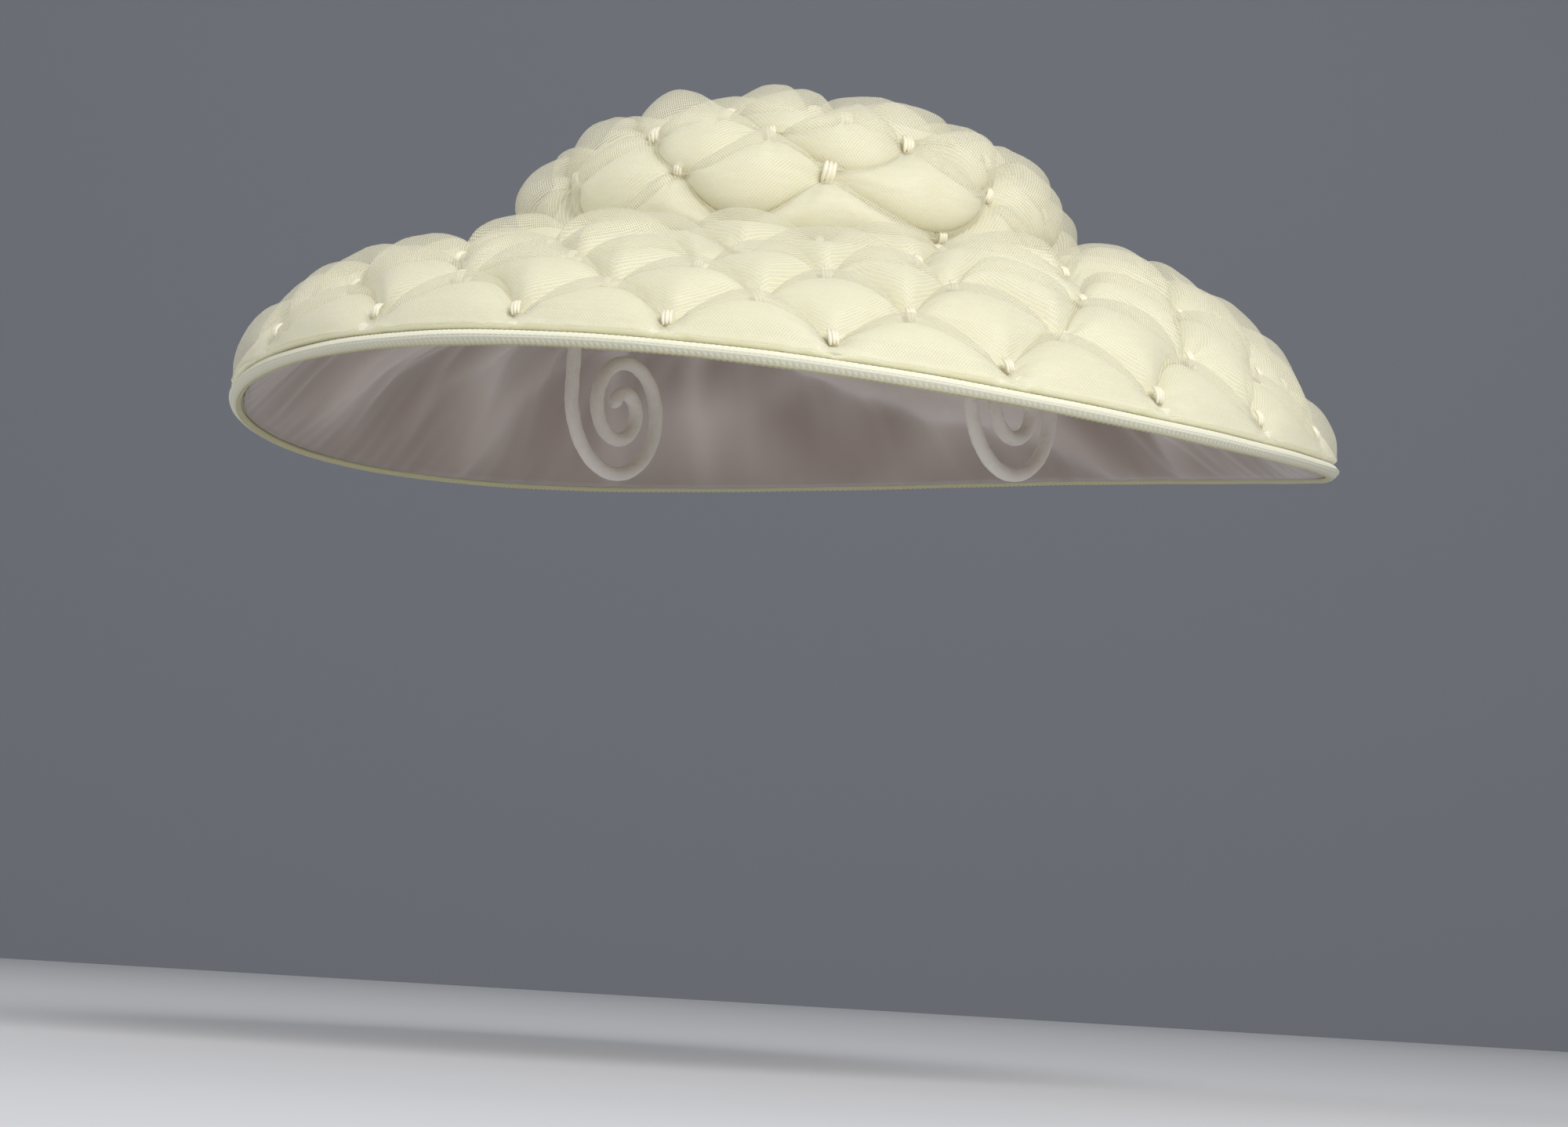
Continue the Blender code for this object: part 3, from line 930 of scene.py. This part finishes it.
def dress_grip(node, side, leg_y, finish):
    """The wire in its velvet sleeve, with a soft nap that is rubbed flat here and there."""
    route = grip_route(leg_y)
    route[:, 0] *= side
    count = len(route)
    obj, a_share, b_share = ring_grid(node + "_velvet", GRIP_SIDES, count - 1)
    turn = a_share * 2 * np.pi
    k = np.round(b_share * (count - 1)).astype(int)
    tangent = np.gradient(route, axis=0)
    tangent /= np.linalg.norm(tangent, axis=1, keepdims=True)
    across = np.array([1.0, 0.0, 0.0]) - tangent * tangent[:, :1]
    across /= np.linalg.norm(across, axis=1, keepdims=True)
    other = np.cross(tangent, across)
    steps = np.linalg.norm(np.diff(route, axis=0), axis=1)
    lengths = np.concatenate([[0], np.cumsum(steps)])
    way = lengths[k]
    nap = sum(size * np.sin(way * waves + twist * turn) for size, waves, twist in NAP)
    end = np.minimum(way, lengths[-1] - way)
    rounded = np.sqrt(np.clip(1 - (1 - np.clip(end / (GRIP_WIRE / 2), 0, 1)) ** 2, 0.0, 1))
    radius = (GRIP_WIRE / 2 + nap) * rounded
    spoke = across[k] * np.cos(turn)[:, None] + other[k] * np.sin(turn)[:, None]
    set_points(obj, route[k] + spoke * radius[:, None])
    lay_cloth_map(obj, a_share * np.pi * GRIP_WIRE, way)
    close_seam(obj)
    face_outwards(obj)
    give_finish(obj, finish)
    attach(obj, "root")
    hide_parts(node)


# Finishes


class Finish:
    """A Principled material whose nodes are added one after another."""

    def __init__(self, name):
        self.material = bpy.data.materials.new(name)
        self.material.use_nodes = True
        self.nodes = self.material.node_tree.nodes
        self.links = self.material.node_tree.links
        self.shader = self.nodes["Principled BSDF"]

    def add(self, kind, inputs=(), **settings):
        node = self.nodes.new("ShaderNode" + kind)
        for key, value in settings.items():
            setattr(node, key, value)
        for key, value in dict(inputs).items():
            self.put(node.inputs[key], value)
        return node

    def put(self, socket, value):
        if isinstance(value, bpy.types.NodeSocket):
            self.links.new(value, socket)
        elif isinstance(value, (tuple, list)) and len(value) == 3 and socket.type == "RGBA":
            socket.default_value = (*value, 1.0)
        else:
            socket.default_value = value

    def set(self, **values):
        for key, value in values.items():
            self.put(self.shader.inputs[key.replace("_", " ")], value)

    def math(self, operation, *values, clamp=False):
        node = self.add("Math", operation=operation, use_clamp=clamp)
        for socket, value in zip(node.inputs, values):
            self.put(socket, value)
        return node.outputs[0]

    def mix(self, share, one, other):
        node = self.add("Mix", data_type="RGBA")
        self.put(node.inputs["Factor"], share)
        self.put(node.inputs["A"], one)
        self.put(node.inputs["B"], other)
        return node.outputs["Result"]

    def cloth(self):
        """The cloth map's two directions, in metres."""
        uv = self.add("UVMap", uv_map="Cloth").outputs[0]
        apart = self.add("SeparateXYZ", {"Vector": uv})
        return apart.outputs[0], apart.outputs[1]

    def noise(self, scale, detail=3.0, rough=0.5):
        place = self.add("TexCoord").outputs["Object"]
        node = self.add(
            "TexNoise", {"Vector": place, "Scale": scale, "Detail": detail, "Roughness": rough}
        )
        return node.outputs["Fac"]

    def streaks(self, across, along, detail=3.0):
        """Noise drawn out along the cloth, with this many spots a metre in each direction."""
        uv = self.add("UVMap", uv_map="Cloth").outputs[0]
        scaled = self.add("VectorMath", operation="MULTIPLY")
        self.put(scaled.inputs[0], uv)
        self.put(scaled.inputs[1], (across, along, 1.0))
        return self.add(
            "TexNoise", {"Vector": scaled.outputs[0], "Scale": 1.0, "Detail": detail}
        ).outputs["Fac"]

    def stripes(self, along, pitch):
        """A wave from 0 to 1 with this pitch in metres."""
        turned = self.math("SINE", self.math("MULTIPLY", along, 2 * math.pi / pitch))
        return self.math("MULTIPLY_ADD", turned, 0.5, 0.5)

    def attribute(self, name):
        return self.add("Attribute", attribute_name=name).outputs["Fac"]

    def bump(self, height, strength, distance):
        node = self.add(
            "Bump", {"Height": height, "Strength": strength, "Distance": distance}
        )
        self.put(self.shader.inputs["Normal"], node.outputs[0])


def weave(finish, pitch):
    """A plain weave as height: threads that go over and under each other."""
    u, v = finish.cloth()
    warp = finish.stripes(u, pitch)
    weft = finish.stripes(v, pitch)
    return finish.math("MULTIPLY", warp, weft)


def puffed_net_finish():
    """Opaque ivory net over padding: slanting threads, faint stains, and a warm painted shade in
    the valleys and round the tacks.
    """
    finish = Finish("Ivory puffed net")
    crease = finish.math("POWER", finish.attribute("crease"), 1.7, clamp=True)
    broad = finish.noise(14.0)
    stain = finish.math("MULTIPLY", finish.math("SUBTRACT", broad, 0.45), 1.2, clamp=True)
    ivory = finish.mix(stain, NET_IVORY, NET_STAIN)
    thread = finish.math("SUBTRACT", finish.streaks(110.0, 620.0), 0.42)
    light = finish.math("MULTIPLY", thread, 2.4, clamp=True)
    ivory = finish.mix(light, ivory, NET_LIGHT)
    # Painted warm shade in the valleys and round the tacks
    colour = finish.mix(finish.math("MULTIPLY", crease, 0.95), ivory, NET_SHADE)
    finish.set(Base_Color=colour, Roughness=0.62)
    finish.set(Sheen_Weight=0.25, Sheen_Roughness=0.4)
    finish.set(Subsurface_Weight=0.55, Subsurface_Scale=0.006)
    finish.set(Subsurface_Radius=(1.0, 0.8, 0.5))
    threads = weave(finish, NET_PITCH)
    fine = finish.noise(420.0)
    height = finish.math("ADD", threads, finish.math("MULTIPLY", fine, 0.6))
    finish.bump(height, 0.22, 0.0002)
    return finish.material


def outer_net_finish():
    """Sheer net: two sets of slanting threads with open cells between them."""
    finish = Finish("Sheer outer net")
    u, v = finish.cloth()
    one = finish.stripes(finish.math("ADD", u, v), VEIL_PITCH)
    other = finish.stripes(finish.math("SUBTRACT", u, v), VEIL_PITCH)
    thread = finish.math("MAXIMUM", one, other)
    solid = finish.math("GREATER_THAN", thread, 0.86)
    veil = finish.math("MULTIPLY_ADD", solid, 0.45, 0.28)
    finish.set(Base_Color=VEIL_CREAM, Roughness=0.55, Alpha=veil)
    finish.set(Sheen_Weight=0.3)
    return finish.material


def satin_finish():
    """The tacks' thread, with fine fibres in two creams."""
    finish = Finish("Satin thread")
    fibres = finish.noise(900.0)
    finish.set(Base_Color=finish.mix(fibres, SATIN_WHITE, SATIN_SHADE), Roughness=0.36)
    finish.set(Sheen_Weight=0.2)
    finish.bump(fibres, 0.3, 0.0001)
    return finish.material


def braid_finish():
    """Straw-coloured knit, with painted shade between the stitches and a painted khaki shade
    underneath.
    """
    finish = Finish("Knitted straw braid")
    crease = finish.attribute("crease")
    worn = finish.noise(60.0)
    light = finish.mix(worn, BRAID_STRAW, BRAID_LIGHT)
    # Painted khaki shade on the binding's underside
    under = finish.math("MULTIPLY", finish.attribute("under"), 0.8)
    shaded_below = finish.mix(under, light, BRAID_SHADED_KHAKI)
    # Painted shade between the stitches
    colour = finish.mix(finish.math("MULTIPLY", crease, 0.4, clamp=True), shaded_below, BRAID_SHADE)
    finish.set(Base_Color=colour, Roughness=0.45, Coat_Weight=0.1)
    finish.bump(finish.noise(1500.0), 0.25, 0.0001)
    return finish.material


def silk_finish():
    """Thin silk, darkened by painted shade between its hanging folds and at its edges, with a soft
    uneven slub.
    """
    finish = Finish("Lining silk")
    crease = finish.attribute("crease")
    # Painted shade between the folds and at the edges
    tone = finish.mix(finish.math("MULTIPLY", crease, 0.9), SILK_WHITE, SILK_SHADE)
    slub = finish.noise(35.0)
    colour = finish.mix(finish.math("MULTIPLY", slub, 0.25), tone, SILK_SLUB)
    finish.set(Base_Color=colour, Roughness=0.38, Sheen_Weight=0.35)
    finish.bump(weave(finish, SILK_PITCH), 0.15, 0.0001)
    return finish.material


def velvet_finish():
    """Beige velvet with a short nap, rubbed paler here and there."""
    finish = Finish("Beige velvet")
    nap = finish.noise(260.0, 6.0, 0.7)
    rubbed = finish.noise(45.0)
    colour = finish.mix(nap, VELVET_BEIGE, VELVET_SHADE)
    colour = finish.mix(finish.math("MULTIPLY", rubbed, 0.5), colour, VELVET_RUBBED)
    finish.set(Base_Color=colour, Roughness=0.95, Sheen_Weight=0.45, Sheen_Roughness=0.35)
    finish.bump(finish.noise(1900.0, 4.0), 0.7, 0.0004)
    return finish.material


def buckram_finish():
    """The foundation's coarse stiffened net."""
    finish = Finish("Stiffened net")
    threads = weave(finish, BUCKRAM_PITCH)
    tone = finish.noise(40.0)
    colour = finish.mix(threads, BUCKRAM_GAP, BUCKRAM)
    colour = finish.mix(finish.math("MULTIPLY", tone, 0.3), colour, BUCKRAM_WORN)
    finish.set(Base_Color=colour, Roughness=0.8)
    finish.bump(threads, 0.5, 0.0004)
    return finish.material


# Stage


def place_camera():
    """Looks at the hat as the photograph does, with the hat above the picture's middle."""
    direction = Vector(
        (
            math.sin(VIEW_AZIMUTH) * math.cos(VIEW_ELEVATION),
            -math.cos(VIEW_AZIMUTH) * math.cos(VIEW_ELEVATION),
            math.sin(VIEW_ELEVATION),
        )
    )
    right = Vector((math.cos(VIEW_AZIMUTH), math.sin(VIEW_AZIMUTH), 0.0))
    up = direction.cross(right)
    turned = Matrix.Rotation(VIEW_ROLL, 3, -direction)
    right = turned.inverted() @ right
    up = turned.inverted() @ up
    aim = Matrix((right, up, direction)).transposed()
    tilt = math.atan2(IMAGE_HEIGHT / 2 - ORIGIN_PIXEL[1], FOCAL_PIXELS)
    swing = math.atan2(ORIGIN_PIXEL[0] - IMAGE_WIDTH / 2, FOCAL_PIXELS)
    aim = aim @ Matrix.Rotation(-tilt, 3, "X") @ Matrix.Rotation(swing, 3, "Y")
    data = bpy.data.cameras.new("Camera")
    data.sensor_fit = "HORIZONTAL"
    data.sensor_width = SENSOR_WIDTH
    data.lens = FOCAL_PIXELS / IMAGE_WIDTH * SENSOR_WIDTH
    camera = bpy.data.objects.new("Camera", data)
    bpy.context.scene.collection.objects.link(camera)
    camera.matrix_world = Matrix.Translation(direction * VIEW_DISTANCE) @ aim.to_4x4()
    bpy.context.scene.camera = camera
    return direction


def plain_finish(name, colour, roughness):
    finish = Finish(name)
    finish.set(Base_Color=colour, Roughness=roughness)
    return finish.material


def place_stage(direction):
    """A pale floor well below the held hat, and a soft grey backdrop behind it."""
    deselect()
    bpy.ops.mesh.primitive_plane_add(size=STAGE_SIZE, location=(0.0, 0.0, FLOOR_Z))
    floor = fresh(bpy.context.object, "Floor")
    floor.data.materials.append(plain_finish("Pale floor", FLOOR_PALE, 0.9))
    away = Vector((-direction.x, -direction.y, 0.0)).normalized()
    bpy.ops.mesh.primitive_plane_add(size=STAGE_SIZE)
    wall = fresh(bpy.context.object, "Backdrop")
    facing = (-away).to_track_quat("Z", "Y").to_matrix().to_4x4()
    middle = away * BACKDROP_DISTANCE + Vector((0, 0, BACKDROP_MIDDLE))
    wall.matrix_world = Matrix.Translation(middle) @ facing
    wall.data.materials.append(plain_finish("Grey backdrop", BACKDROP_GREY, 1.0))


def place_light(name, place, size, power):
    """A soft round light that points at the head opening."""
    data = bpy.data.lights.new(name, "AREA")
    data.shape = "DISK"
    data.size = size
    data.energy = power
    light = bpy.data.objects.new(name, data)
    bpy.context.scene.collection.objects.link(light)
    light.location = place
    light.rotation_euler = (-Vector(place)).to_track_quat("-Z", "Y").to_euler()


def place_lights():
    """The four lights, and the even light of the room."""
    for name, place, size, power in LIGHTS:
        place_light(name, place, size, power)
    world = bpy.data.worlds.new("Soft room")
    world.use_nodes = True
    background = world.node_tree.nodes["Background"]
    background.inputs["Color"].default_value = ROOM_WHITE
    background.inputs["Strength"].default_value = ROOM_LIGHT
    bpy.context.scene.world = world
    bpy.context.scene.view_settings.view_transform = "Standard"


def main():
    net = puffed_net_finish()
    veil = outer_net_finish()
    satin = satin_finish()
    dress_foundation(buckram_finish())
    for on_brim, name in ((True, "brim_tacks"), (False, "crown_tacks")):
        table = BRIM_ROWS if on_brim else CROWN_ROWS
        rows = [Row(index, on_brim) for index in range(len(table))]
        for row, after in zip(rows, rows[1:] + [None]):
            dress_row(row, after, net)
            dress_net(row, after, veil)
        dress_tacks(rows, name, satin)
    dress_binding(braid_finish())
    dress_lining(silk_finish())
    velvet = velvet_finish()
    for node, side, leg_y in GRIPS:
        dress_grip(node, side, leg_y, velvet)
    place_stage(place_camera())
    place_lights()


main()
